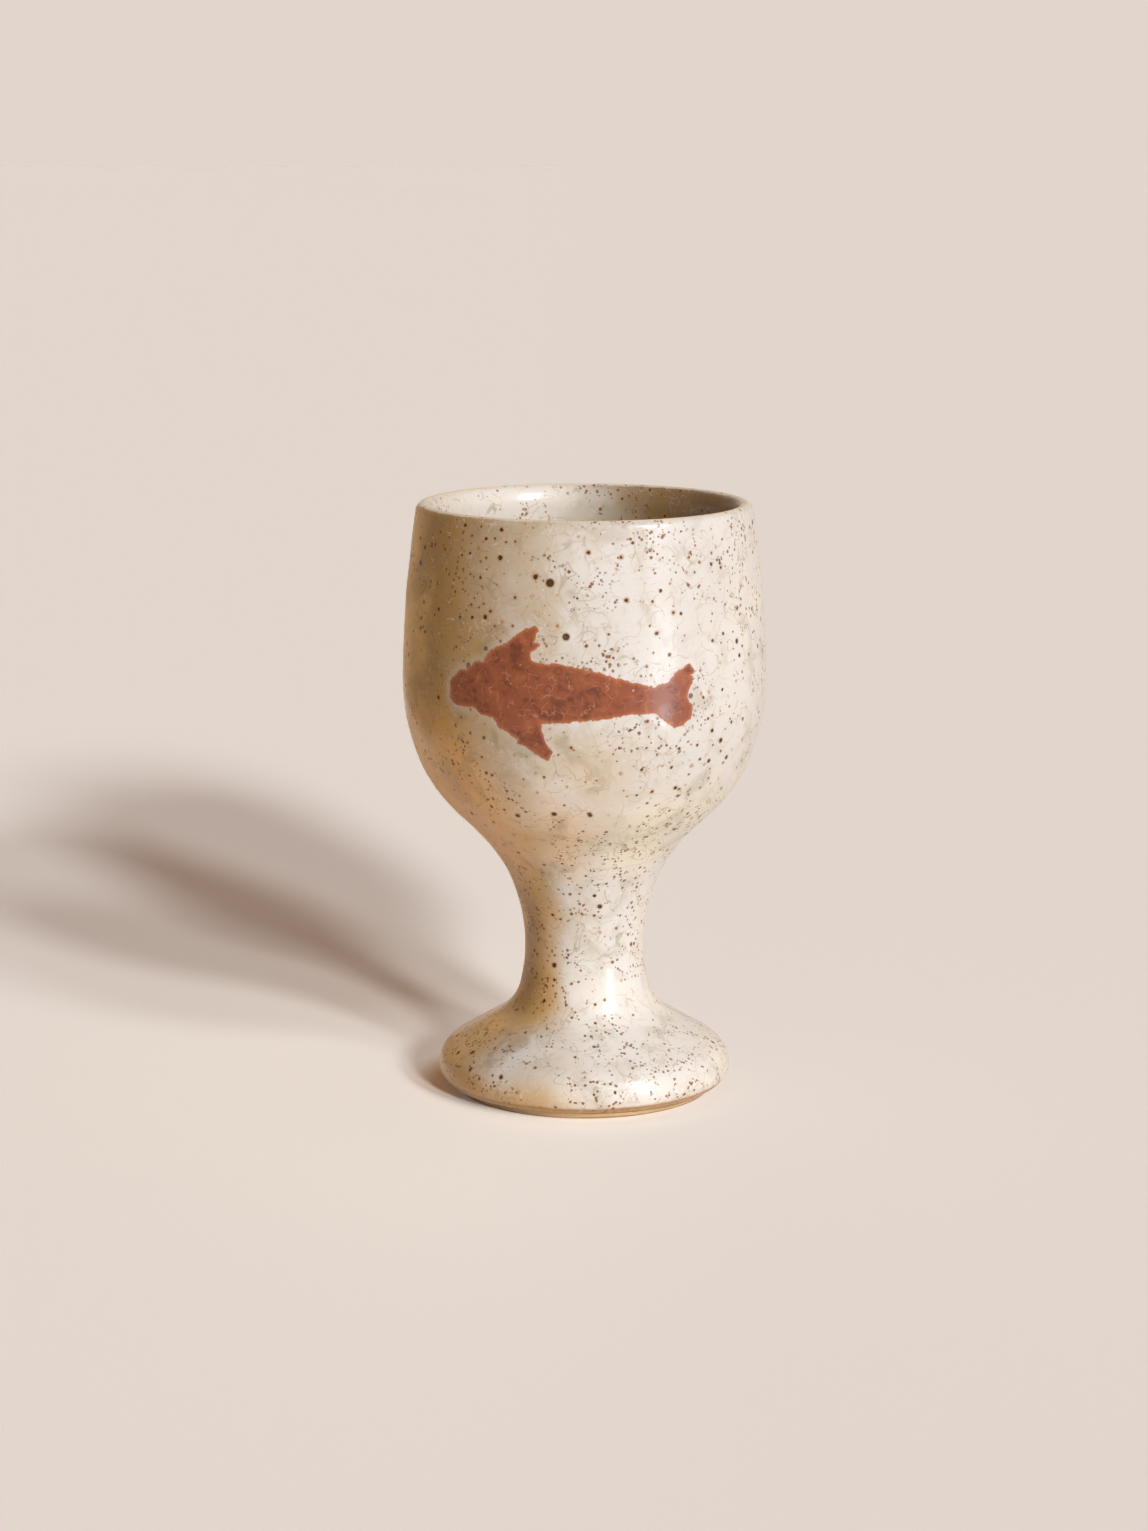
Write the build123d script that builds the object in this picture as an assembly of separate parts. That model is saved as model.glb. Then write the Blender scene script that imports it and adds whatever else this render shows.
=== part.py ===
from build123d import *
import os

# A wheel-thrown stoneware goblet: a deep bowl on a short hollow stem with a flared foot.
# The bowl and the stem are two throwings, luted together with slip and a coil of clay.
# Glaze covers them inside and out, and a fish is brushed on the front in iron pigment.
# Millimetres, +Z up, the origin on the table at the centre of the foot, the fish facing -Y.

# Foot, from the table up
foot_radius = 37.2
foot_edge_height = 6.0
foot_undercut = 4.9
foot_ring_width = 5.0
glaze_line_height = 2.5
glaze_line_inset = 1.6
glaze_line_angle = 42.0
foot_shoulder_inset = 4.3
foot_shoulder_rise = 6.6
foot_slope_width = 10.8
foot_slope_angle = 30.5

# Stem, and the joint where the bowl is set on it
stem_radius = 15.1
stem_rise = 18.5
stem_wall = 5.5
joint_radius = 21.8
joint_rise = 22.8
joint_angle = 57.0
slip_thickness = 0.4
coil_radius = 2.0

# Bowl, from the joint up
turn_radius = 31.6
turn_rise = 11.0
turn_angle = 42.6
turn_wall = 4.8
belly_radius = 45.6
belly_rise = 33.7
belly_wall = 4.2
bowl_floor = 7.0
rim_radius = 40.1
rim_rise = 43.1
rim_lean = 8.5

# Lip: a small round outside, and a long one that slopes down into the bowl
lip_outer_round = 1.97
lip_slope_width = 1.9
lip_slope_drop = 1.1
lip_slope_angle = 60.0
lip_inner_width = 2.8
lip_inner_drop = 6.0

# Coats over the clay
glaze_thickness = 0.45
pigment_depth = 0.15
pigment_relief = 0.05

# The fish: how far its middle lies over the widest ring of the bowl, then its brush strokes.
# Each stroke is an arc that starts at the first point and passes through the second.
fish_rise = 3.0
fish_strokes = [
    ((-32.6, -2.0), (-32.9, 1.0)),
    ((-31.6, 3.8), (-22.6, 10.9)),
    ((-11.4, 17.2), (-12.8, 12.6)),
    ((-12.0, 8.8), (2.0, 7.1)),
    ((17.0, 2.4), (21.2, 4.6)),
    ((25.6, 7.2), (26.2, 3.2)),
    ((24.8, -0.4), (26.3, -4.0)),
    ((24.4, -7.4), (20.4, -6.6)),
    ((16.5, -3.8), (3.0, -5.2)),
    ((-10.5, -6.2), (-10.0, -10.6)),
    ((-8.3, -14.9), (-20.6, -8.2)),
]


def station(radius, height, angle):
    """A place on a turned outline, and the way it runs: 0 is outwards, 90 is up."""
    return Vector(radius, height), Vector(1, 0).rotate(Axis.Z, angle)


def outward(heading):
    """The direction to the right of a heading, which is away from the clay."""
    return Vector(heading.Y, -heading.X)


def halfway(start, end):
    """The place where the two arcs that smoothly join two stations meet."""
    (first, leaving), (last, arriving) = start, end
    span = last - first
    both = span.dot(leaving + arriving)
    turn = 2 * (1 - leaving.dot(arriving))
    reach = span.dot(span) / (both + (both**2 + turn * span.dot(span)) ** 0.5)
    near = first + leaving * reach
    far = last - arriving * reach
    return (near + far) / 2, (far - near).normalized()


def smooth(*stations):
    """Stations with a place added between each two, so that one arc joins each to the next."""
    places = [stations[0]]
    for start, end in zip(stations, stations[1:]):
        if abs((end[0] - start[0]).dot(outward(start[1]))) > 1e-6:
            places.append(halfway(start, end))
        places.append(end)
    return places


def shifted(places, distance):
    """The same outline moved away from the clay, or into it where the distance is negative."""
    return [(point + outward(heading) * distance, heading) for point, heading in places]


def drawn(places):
    """The arcs and straight runs through a list of places."""
    edges = []
    for (point, heading), (end, _) in zip(places, places[1:]):
        if abs((end - point).dot(outward(heading))) > 1e-6:
            edges.append(TangentArc(point, end, tangent=heading))
        else:
            edges.append(Line(point, end))
    return edges


def turned(edges):
    """The solid that a closed half section sweeps round the axis."""
    return revolve(Plane.XZ * make_face(edges), Axis.Z)


def coat(places, top, bottom):
    """A layer that follows an outline, between two distances from it."""
    over = shifted(places, top)
    under = shifted(places, bottom)
    ends = [Line(over[-1][0], under[-1][0]), Line(under[0][0], over[0][0])]
    return turned(drawn(over) + drawn(under) + ends)


# Heights of the stations above the table
shoulder_height = foot_edge_height + foot_shoulder_rise
foot_slope_heading = 180 - foot_slope_angle
slope_run = Vector(1, 0).rotate(Axis.Z, foot_slope_heading)
slope_height = shoulder_height - foot_slope_width * slope_run.Y / slope_run.X
stem_height = slope_height + stem_rise
joint_height = stem_height + joint_rise
turn_height = joint_height + turn_rise
belly_height = turn_height + belly_rise
rim_height = belly_height + rim_rise
crest_height = rim_height + lip_outer_round
floor_height = joint_height + bowl_floor

# Stations of the finished surface, up the outside, over the lip and down the inside
glaze_line = station(foot_radius - glaze_line_inset, glaze_line_height, glaze_line_angle)
foot_edge = station(foot_radius, foot_edge_height, 90)
shoulder_radius = foot_radius - foot_shoulder_inset
foot_shoulder = station(shoulder_radius, shoulder_height, foot_slope_heading)
foot_slope = station(shoulder_radius - foot_slope_width, slope_height, foot_slope_heading)
stem = station(stem_radius, stem_height, 90)
joint = station(joint_radius, joint_height, joint_angle)
bowl_turn = station(turn_radius, turn_height, turn_angle)
belly = station(belly_radius, belly_height, 90)
lip_side = Vector(lip_outer_round, 0).rotate(Axis.Z, rim_lean)
lip_heading = Vector(0, 1).rotate(Axis.Z, rim_lean)
lip_outside = (Vector(rim_radius, rim_height) + lip_side, lip_heading)
lip_crest = station(rim_radius, crest_height, 180)
lip_slope_height = crest_height - lip_slope_drop
lip_slope = station(rim_radius - lip_slope_width, lip_slope_height, 180 + lip_slope_angle)
lip_foot = Vector(rim_radius - lip_inner_width, crest_height - lip_inner_drop)
lip_inside = (lip_foot, -lip_heading)
belly_inside = station(belly_radius - belly_wall, belly_height, 270)
turn_inside = (bowl_turn[0] - outward(bowl_turn[1]) * turn_wall, -bowl_turn[1])
bowl_bottom = station(0, floor_height, 180)

up_the_foot = smooth(glaze_line, foot_edge, foot_shoulder, foot_slope)
up_the_stem = smooth(foot_slope, stem, joint)
up_the_bowl = smooth(joint, bowl_turn, belly, lip_outside)
over_the_lip = smooth(lip_outside, lip_crest, lip_slope, lip_inside)
down_the_inside = smooth(lip_inside, belly_inside, turn_inside, bowl_bottom)
outside = up_the_foot + up_the_stem[1:] + up_the_bowl[1:] + over_the_lip[1:]

# All the clay in one, from the foot ring to the lip, before it is parted at the joint
foot_centre = Vector(0, 0)
ring_edge = Vector(foot_radius - foot_undercut, 0)
clay_outline = shifted(outside + down_the_inside[1:], -glaze_thickness)
clay = turned(
    drawn(clay_outline)
    + [
        Line(clay_outline[-1][0], foot_centre),
        Line(foot_centre, ring_edge),
        Line(ring_edge, clay_outline[0][0]),
    ]
)

# The hollow under the foot and up the stem, at an even wall from the outside
ring_inside = station(ring_edge.X - foot_ring_width, 0, 90)
bore_outline = shifted(up_the_stem, -stem_wall)
bore_outline = smooth(ring_inside, bore_outline[0])[:-1] + bore_outline
bore_top = Vector(0, bore_outline[-1][0].Y)
bore = turned(
    drawn(bore_outline)
    + [
        Line(bore_outline[-1][0], bore_top),
        Line(bore_top, foot_centre),
        Line(foot_centre, ring_inside[0]),
    ]
)

# The joint: a flat seam filled with slip, and a coil pressed into the groove round it
clay_at_joint = joint[0] - outward(joint[1]) * glaze_thickness
coil_ring = Pos(0, 0, clay_at_joint.Y) * Torus(clay_at_joint.X, coil_radius)
seam_layer = Pos(0, 0, joint_height) * Cylinder(belly_radius, slip_thickness)
above_seam = Pos(0, 0, joint_height + slip_thickness / 2) * Cylinder(
    belly_radius + belly_wall, rim_height, align=(Align.CENTER, Align.CENTER, Align.MIN)
)
below_seam = Pos(0, 0, joint_height - slip_thickness / 2) * Cylinder(
    foot_radius + belly_wall, joint_height, align=(Align.CENTER, Align.CENTER, Align.MAX)
)

bowl = (clay & above_seam) - coil_ring
stem_foot = (clay & below_seam) - bore - coil_ring
joint_slip = (clay & seam_layer) - bore - coil_ring
joint_coil = clay & coil_ring

# The fish, cut from a layer that lies in the skin of the glaze
strokes = []
for number, (start, through) in enumerate(fish_strokes):
    end = fish_strokes[(number + 1) % len(fish_strokes)][0]
    strokes.append(ThreePointArc(start, through, end))
fish_shape = Pos(0, belly_height + fish_rise) * make_face(strokes)
fish_prism = extrude(Plane.XZ * fish_shape, belly_radius * 2)
fish_decoration = coat(up_the_bowl, pigment_relief, -pigment_depth) & fish_prism

glaze_outside = coat(outside, 0, -glaze_thickness) - fish_decoration
glaze_inside = coat(down_the_inside, 0, -glaze_thickness)

pieces = {
    "stem_foot": stem_foot,
    "joint_slip": joint_slip,
    "joint_coil": joint_coil,
    "bowl": bowl,
    "glaze_outside": glaze_outside,
    "glaze_inside": glaze_inside,
    "fish_decoration": fish_decoration,
}

os.makedirs("parts", exist_ok=True)
for name, piece in pieces.items():
    export_step(piece, f"parts/{name}.step")
    print(f"{name}: {len(piece.solids())} solid, {piece.volume / 1000:.2f} cm3")

print(f"height {crest_height:.1f}, bowl {2 * belly_radius:.1f} and foot {2 * foot_radius:.1f} across")
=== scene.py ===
# %% [markdown]
# # A speckled stoneware goblet
#
# A potter made this goblet in two throwings: a deep bowl, and a hollow stem with a flared foot.
# The two were joined while the clay was still soft, dipped in an oatmeal glaze, and a fish was
# brushed on the front in iron pigment before the firing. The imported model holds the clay, the
# coats of glaze and the fish at their real size. This script turns the surfaces that show on
# Blender's own lathe, the spin tool, and gives each of them its finish.

from math import asin, cos, pi, radians, sin, tau

import bpy
import numpy as np
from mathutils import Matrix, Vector


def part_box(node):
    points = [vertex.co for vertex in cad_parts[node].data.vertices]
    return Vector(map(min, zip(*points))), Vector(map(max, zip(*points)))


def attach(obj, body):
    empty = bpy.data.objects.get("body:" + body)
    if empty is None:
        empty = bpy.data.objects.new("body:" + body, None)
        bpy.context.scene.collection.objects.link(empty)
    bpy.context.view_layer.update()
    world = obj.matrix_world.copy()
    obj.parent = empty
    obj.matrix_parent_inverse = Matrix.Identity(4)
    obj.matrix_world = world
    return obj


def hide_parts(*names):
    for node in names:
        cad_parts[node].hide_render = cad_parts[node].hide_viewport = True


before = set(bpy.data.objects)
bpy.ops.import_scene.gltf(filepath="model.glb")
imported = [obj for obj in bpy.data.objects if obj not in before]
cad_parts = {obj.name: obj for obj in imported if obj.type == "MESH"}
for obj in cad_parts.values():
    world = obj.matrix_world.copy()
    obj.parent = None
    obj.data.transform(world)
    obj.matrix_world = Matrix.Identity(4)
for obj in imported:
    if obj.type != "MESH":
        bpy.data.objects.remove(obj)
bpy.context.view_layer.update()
print("nodes of the part:", sorted(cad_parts))

# %% [markdown]
# ## The camera
#
# A longer lens from a little under a metre away keeps the goblet's proportions calm, as in a
# catalogue picture. The camera looks down at it slightly, so that the mouth shows as a narrow
# ellipse. Its place and its tilt were worked out from how flat the rim and the foot look.

# %% Set up the camera
CAMERA_DISTANCE = 0.845
CAMERA_HEIGHT = 0.2485
CAMERA_ASIDE = -0.0026
LOOKS_DOWN = radians(11.08)
LENS = 80.1

bpy.ops.object.camera_add(
    location=(CAMERA_ASIDE, -CAMERA_DISTANCE, CAMERA_HEIGHT),
    rotation=(pi / 2 - LOOKS_DOWN, 0, 0),
)
camera = bpy.context.object
camera.name = "catalogue_camera"
camera.data.lens = LENS
bpy.context.scene.camera = camera
bpy.context.scene.view_settings.view_transform = "Standard"
print("camera at", tuple(round(c, 3) for c in camera.location))

# %% [markdown]
# ## The outline of the goblet
#
# Everything thrown on a wheel is one outline turned about one axis. The outline is kept as a
# few stations: how far from the axis, how high, and which way the wall runs there. Widths and
# heights that the model already has are read from it, so the surfaces lie exactly on the clay.
# Measures are written in millimetres and the mesh is made in metres. GLAZE is how thick the coat
# is, and the two walls are how thick the bowl is at its belly and where it turns under.

# %% Name the stations of the outline
MM = 0.001
GLAZE = 0.45 * MM
WALL_AT_BELLY = 4.2 * MM
WALL_AT_TURN = 4.8 * MM

glaze_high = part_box("glaze_outside")[1]
seam_low, seam_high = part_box("joint_slip")
BELLY = glaze_high.x
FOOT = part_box("stem_foot")[1].x + GLAZE
SEAM = (seam_low.z + seam_high.z) / 2
BELLY_HEIGHT = SEAM + 44.7 * MM
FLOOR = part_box("glaze_inside")[0].z + GLAZE
CREST = glaze_high.z


def station(radius, height, heading):
    """A place on the outline and the way the wall runs there: 0 is outwards, 90 is up."""
    turn = radians(heading)
    return Vector((radius, height)), Vector((cos(turn), sin(turn)))


glaze_line = station(FOOT - 1.6 * MM, 2.5 * MM, 42)
foot_edge = station(FOOT, 6.0 * MM, 90)
foot_shoulder = station(FOOT - 4.3 * MM, 12.6 * MM, 149.5)
foot_slope = station(FOOT - 15.1 * MM, 18.96 * MM, 149.5)
stem = station(15.1 * MM, SEAM - 22.8 * MM, 90)
joint = station(21.8 * MM, SEAM, 57)
bowl_turn = station(31.6 * MM, SEAM + 11.0 * MM, 42.6)
belly = station(BELLY, BELLY_HEIGHT, 90)
belly_inside = station(BELLY - WALL_AT_BELLY, BELLY_HEIGHT, 270)
floor_centre = station(0, FLOOR, 180)
print(f"belly {2000 * BELLY:.1f} mm across, seam {1000 * SEAM:.1f} mm above the table")

# %% [markdown]
# The lip has a small round outside, then slopes down into the bowl in a longer one, the way a
# thumb leaves it. Its stations lie on the crest, on the slope and on either side.

# %% Add the lip
RIM = 40.1 * MM
LIP_ROUND = 1.97 * MM
LIP_LEAN = radians(8.5)

lip_heading = Vector((-sin(LIP_LEAN), cos(LIP_LEAN)))
lip_side = Vector((cos(LIP_LEAN), sin(LIP_LEAN))) * LIP_ROUND
lip_outside = (Vector((RIM, CREST - LIP_ROUND)) + lip_side, lip_heading)
lip_crest = station(RIM, CREST, 180)
lip_slope = station(38.2 * MM, CREST - 1.1 * MM, 240)
lip_inside = (Vector((37.3 * MM, CREST - 6.0 * MM)), -lip_heading)
print(f"lip {1000 * CREST:.1f} mm above the table")


# %% [markdown]
# Between two stations the outline follows two arcs that meet halfway with the same slope. That
# gives the long, quiet curves of thrown clay from very few numbers. The same lines of geometry
# give the surface of the glaze, the clay under it and the hollow of the bowl, each a steady
# distance from the other.

# %% Join the stations with arcs
def outward(heading):
    """The direction to the right of a heading, which is away from the clay."""
    return Vector((heading.y, -heading.x))


def halfway(start, end):
    """The place where the two arcs from one station to the next meet."""
    (first, leaving), (last, arriving) = start, end
    span = last - first
    both = span.dot(leaving + arriving)
    turn = 2 * (1 - leaving.dot(arriving))
    reach = span.dot(span) / (both + (both**2 + turn * span.dot(span)) ** 0.5)
    near = first + leaving * reach
    far = last - arriving * reach
    return (near + far) / 2, (far - near).normalized()


def smooth(*stations):
    """Stations with a meeting place added between each two."""
    places = [stations[0]]
    for start, end in zip(stations, stations[1:]):
        places += [halfway(start, end), end]
    return places


def shifted(places, distance):
    """The same outline moved away from the clay, or into it where the distance is negative."""
    return [(point + outward(heading) * distance, heading) for point, heading in places]


up_the_foot = smooth(glaze_line, foot_edge, foot_shoulder, foot_slope)
up_the_stem = smooth(foot_slope, stem, joint)
up_the_bowl = smooth(joint, bowl_turn, belly, lip_outside)
over_the_lip = smooth(lip_outside, lip_crest, lip_slope, lip_inside)
turn_inside = (bowl_turn[0] - outward(bowl_turn[1]) * WALL_AT_TURN, -bowl_turn[1])
down_the_inside = smooth(lip_inside, belly_inside, turn_inside, floor_centre)
outside = up_the_foot + up_the_stem[1:] + up_the_bowl[1:] + over_the_lip[1:]
print("arcs up the outside and over the lip:", len(outside) - 1)


# %% [markdown]
# A mesh needs points rather than arcs. They are spaced closely where the light will show them,
# and loosely on the hidden side that lies against the clay.

# %% Walk along the arcs
SMALLEST_BEND = radians(9)


def along(places, spacing):
    """Points about that far apart on the arcs through the places."""
    points = []
    for (point, heading), (end, _) in zip(places, places[1:]):
        span = end - point
        aside = -span.dot(outward(heading))
        bend = 2 * float(np.arctan2(aside, span.dot(heading)))
        count = max(2, round(span.length / spacing), round(abs(bend) / SMALLEST_BEND))
        for step in range(count):
            share = step / count
            if abs(bend) < 1e-6:
                points.append(point + span * share)
                continue
            radius = span.length / 2 / sin(bend / 2)
            turned = bend * share
            across = radius * (1 - cos(turned))
            points.append(point + heading * radius * sin(turned) - outward(heading) * across)
    return points + [places[-1][0]]


print("points up the outside:", len(along(outside, 1.0 * MM)))


# %% [markdown]
# ## A lathe made of Blender's own tools
#
# Thrown clay is never quite true. Fingers leave fine rings and broad ones, a few hundredths of a
# millimetre deep, enough to make a reflection waver. They are drawn into the outline before it
# is turned, and fade out towards the foot ring and the lip.

# %% Draw the finger rings
FINE_RINGS = 0.026
BROAD_RINGS = 0.05
RINGS_FROM = 4
RINGS_TO = 148


def finger_rings(point):
    """The point moved in or out a little, as a potter's fingers leave the wall."""
    height = point.y / MM
    fine = FINE_RINGS * sin(height / 1.35 + 1.8 * sin(height / 6.1))
    broad = BROAD_RINGS * sin(height / 3.3 + 0.7 + 0.9 * sin(height / 11))
    fade_in = min(1, max(0, (height - RINGS_FROM) / 6), max(0, (RINGS_TO - height) / 8))
    return point + Vector(((fine + broad) * fade_in * MM, 0))


print(f"fingers move the wall by up to {FINE_RINGS + BROAD_RINGS:.3f} mm")

# %% [markdown]
# A plane merged to a single point is the pencil. It is extruded from point to point along the
# outline, and the spin tool turns the line round the axis as the wheel turns the clay. Spin
# leaves a seam where it started, so doubles are merged before every face is made to point
# outwards.

# %% Build the lathe
SAME_POINT = 0.002 * MM
SHARP_EDGE = radians(50)


def turn_on_lathe(name, outline, steps=200, start=0.0, sweep=tau):
    """A piece made by drawing an outline and spinning it about the axis of the goblet."""
    bpy.ops.object.select_all(action="DESELECT")
    bpy.ops.mesh.primitive_plane_add(size=MM, location=(0, 0, 0))
    piece = bpy.context.object
    piece.name = piece.data.name = name
    bpy.ops.object.mode_set(mode="EDIT")
    bpy.ops.mesh.select_all(action="SELECT")
    bpy.ops.mesh.merge(type="CENTER")
    drawn = [Vector((p.x * cos(start), p.x * sin(start), p.y)) for p in outline]
    bpy.ops.transform.translate(value=drawn[0])
    for here, there in zip(drawn, drawn[1:]):
        bpy.ops.mesh.extrude_vertices_move(TRANSFORM_OT_translate={"value": there - here})
    bpy.ops.mesh.select_all(action="SELECT")
    bpy.ops.mesh.spin(steps=steps, angle=sweep, center=(0, 0, 0), axis=(0, 0, 1))
    bpy.ops.mesh.select_all(action="SELECT")
    bpy.ops.mesh.remove_doubles(threshold=SAME_POINT)
    bpy.ops.mesh.normals_make_consistent(inside=False)
    bpy.ops.object.mode_set(mode="OBJECT")
    bpy.ops.object.shade_smooth_by_angle(angle=SHARP_EDGE)
    print(f"{name}: {len(piece.data.polygons)} faces, {len(outline)} points in its outline")
    return piece


# %% [markdown]
# ## The coats of glaze
#
# Outside, the glaze starts just above the foot ring, which was wiped clean so that the goblet
# wouldn't stick to the kiln shelf. It runs up the foot, the stem and the bowl and over the
# lip. It is a real coat, 0.45 mm thick, so the piece is a thin closed shell: the outline goes
# up along the outer skin and comes back down along the clay. At the foot it ends in a soft
# roll, as melted glaze does. The liner glaze is the same kind of shell inside the bowl.

# %% Turn the two coats
SHOWN = 0.9 * MM
HIDDEN = 3.0 * MM


def rolled_edge(place):
    """A half round that closes the coat where it stops on bare clay, from the clay outwards."""
    point, heading = place
    middle = point - outward(heading) * GLAZE / 2
    turns = [radians(angle) for angle in (150, 120, 90, 60, 30)]
    return [middle + (outward(heading) * cos(t) - heading * sin(t)) * GLAZE / 2 for t in turns]


def coat_of_glaze(places):
    """The skin of the glaze and its hidden side, as one line that goes up and comes back."""
    skin = [finger_rings(p) for p in along(places, SHOWN)]
    return skin + along(shifted(places, -GLAZE), HIDDEN)[::-1]


glaze_outline = coat_of_glaze(outside) + rolled_edge(glaze_line)
outer_glaze = turn_on_lathe("outer_glaze", glaze_outline + glaze_outline[:1])
liner_glaze = turn_on_lathe("liner_glaze", coat_of_glaze(down_the_inside))

# %% [markdown]
# ## The foot and the stem
#
# The foot ring is the one place where bare clay shows. The potter turned the goblet upside
# down and trimmed it with a loop tool, which leaves fine grooves on the bevel and softens the
# two edges that it stands on. The stem is hollow, so the outline goes up the outside of the
# clay to the seam under the bowl, and back down the bore. Just under the seam it tucks in, where
# the coil of clay lies in its groove.

# %% Turn the foot and the stem
RING_OUTSIDE = FOOT - 4.9 * MM
RING_INSIDE = RING_OUTSIDE - 5.0 * MM
SOFT_EDGE = 0.45 * MM
STEM_WALL = 5.5 * MM
COIL_BELOW = 1.9 * MM
COIL_INWARDS = 1.6 * MM

clay_line = glaze_line[0] - outward(glaze_line[1]) * GLAZE
clay_side = along(shifted(up_the_foot + up_the_stem[1:], -GLAZE), 2 * MM)
clay_side = [p for p in clay_side if p.y < seam_low.z - COIL_BELOW]
bore_places = shifted(up_the_stem, -STEM_WALL)
bore_places = smooth(station(RING_INSIDE, 0, 90), bore_places[0])[:-1] + bore_places
bore_side = [p for p in along(bore_places, 1.2 * MM) if SOFT_EDGE < p.y < seam_low.z]
seam_inside = Vector((bore_side[-1].x, seam_low.z))
seam_outside = Vector((clay_side[-1].x - COIL_INWARDS, seam_low.z))
print(f"bare ring from {1000 * RING_INSIDE:.1f} to {1000 * RING_OUTSIDE:.1f} mm off the axis")

# %% [markdown]
# The bevel is drawn with its grooves: a wave across it, a few hundredths of a millimetre deep.

# %% Draw the trimmed bevel
GROOVE = 0.05 * MM
BEVEL_STEPS = 30

bevel = clay_line - Vector((RING_OUTSIDE, 0))
across_bevel = outward(bevel.normalized())
trimmed = []
for step in range(3, BEVEL_STEPS):
    share = step / BEVEL_STEPS
    depth = GROOVE * (sin(share * 5.3 * tau) + 0.5 * sin(share * 11.7 * tau + 1))
    trimmed.append(Vector((RING_OUTSIDE, 0)) + bevel * share + across_bevel * (depth - GROOVE))

standing = [
    Vector((RING_INSIDE + 0.12 * MM, 0.14 * MM)),
    Vector((RING_INSIDE + SOFT_EDGE, 0)),
    Vector((RING_OUTSIDE - 0.3 * MM, 0)),
    Vector((RING_OUTSIDE + 0.05 * MM, 0.1 * MM)),
]
clay_outline = standing + trimmed + clay_side + [seam_outside, seam_inside] + bore_side[::-1]
turned_foot = turn_on_lathe("turned_foot", clay_outline + clay_outline[:1])

# %% [markdown]
# ## The brushed fish
#
# The fish is iron pigment, brushed on the raw glaze and melted into its skin, so it lies in a
# very low relief. It could be painted in the material alone, but then its edge would be no
# finer than a baked picture of the whole goblet. A patch of its own carries a number for each
# point, how far that point lies inside the outline of the fish, and the material reads it.
# The patch is spun from the same outline as the bowl, in steps of a third of a millimetre.

# %% Draw the fish
BACK_OF_THE_FISH = [
    (-32.5, 106), (-32.5, 110.5), (-30, 113.5), (-28.5, 113.5), (-26, 116), (-24.5, 116),
    (-22.5, 119), (-18.5, 121), (-16, 123.5), (-12, 125.5), (-11, 124.5), (-12, 121.5),
    (-10.5, 121), (-13, 118.5), (-12.5, 117), (-11, 116.5), (-6, 116.5), (3.5, 114.5),
    (7.5, 113), (16.5, 110.5),
]
TAIL_OF_THE_FISH = [
    (20, 111.5), (21.5, 113.5), (25, 115.5), (26.5, 113.5), (25.5, 112.5), (26, 111.5),
    (24.5, 107.5), (26, 105), (25.5, 102), (23.5, 100.5), (21.5, 100), (19, 102), (16.5, 104),
]
BELLY_OF_THE_FISH = [
    (11.5, 104), (4.5, 103), (-6, 102), (-10.5, 102), (-10, 99.5), (-9, 96.5), (-7.5, 95),
    (-9, 92.5), (-11.5, 94), (-14.5, 96), (-16.5, 96.5), (-16, 97.5), (-19, 99.5),
    (-20.5, 100), (-22, 102.5), (-25, 103), (-26.5, 104.5), (-31, 104.5),
]
FISH = BACK_OF_THE_FISH + TAIL_OF_THE_FISH + BELLY_OF_THE_FISH
PATCH_MARGIN = 3.0
wall = along(up_the_bowl, 0.3 * MM)


def radius_at(height):
    """How far from the axis the bowl's surface is at that height, both in millimetres."""
    return np.interp(height, [p.y / MM for p in wall], [p.x / MM for p in wall])


def unrolled(x, height):
    """A place on the bowl laid flat: how far round it from the front, and how high."""
    return (BELLY / MM) * asin(x / radius_at(height)), height


outline_flat = np.array([unrolled(x, height) for x, height in FISH])
print(f"the fish is {np.ptp(outline_flat[:, 0]):.0f} mm long, laid flat")


# %% [markdown]
# How far a point lies from the outline is the distance to the nearest of its straight runs. It
# counts as positive where a line drawn sideways from the point crosses the outline an odd
# number of times, which is inside.

# %% Measure from the outline
def depth_in_fish(points):
    """Distance of flat points to the outline in millimetres, positive inside the fish."""
    nearest = np.full(len(points), 1e9)
    crossings = np.zeros(len(points), int)
    for start, end in zip(outline_flat, np.roll(outline_flat, -1, axis=0)):
        run = end - start
        share = np.clip((points - start) @ run / (run @ run), 0, 1)
        gap = np.linalg.norm(points - start - share[:, None] * run, axis=1)
        nearest = np.minimum(nearest, gap)
        spans = (start[1] > points[:, 1]) != (end[1] > points[:, 1])
        rise = end[1] - start[1] or 1e-9
        meets = start[0] + (points[:, 1] - start[1]) / rise * run[0]
        crossings += spans & (points[:, 0] < meets)
    return np.where(crossings % 2 == 1, nearest, -nearest)


def soft_step(value, low, high):
    """0 where the value is at low, 1 where it is at high, and a soft step between them."""
    share = np.clip((value - low) / (high - low), 0, 1)
    return share * share * (3 - 2 * share)


# %% [markdown]
# The patch starts a hair under the skin of the glaze, as part of a turn. Faces too far outside
# the outline of the fish are deleted.

# %% Spin and trim the patch
PATCH_SPREAD = radians(52)
PATCH_STEPS = 276
PATCH_LOW = 88 * MM
PATCH_HIGH = 129.5 * MM
UNDER_THE_SKIN = 0.03 * MM

patch_line = [p for p in wall if PATCH_LOW < p.y < PATCH_HIGH]
patch_line = [finger_rings(p) - Vector((UNDER_THE_SKIN, 0)) for p in patch_line]
brushed_fish = turn_on_lathe(
    "brushed_fish", patch_line, PATCH_STEPS, PATCH_SPREAD - pi / 2, 2 * PATCH_SPREAD
)
mesh = brushed_fish.data


def flat_places(corners):
    """Corners of the patch, laid flat in millimetres."""
    corners = np.array(corners) / MM
    angle = np.arctan2(corners[:, 0], -corners[:, 1])
    return np.column_stack([angle * BELLY / MM, corners[:, 2]])


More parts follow.
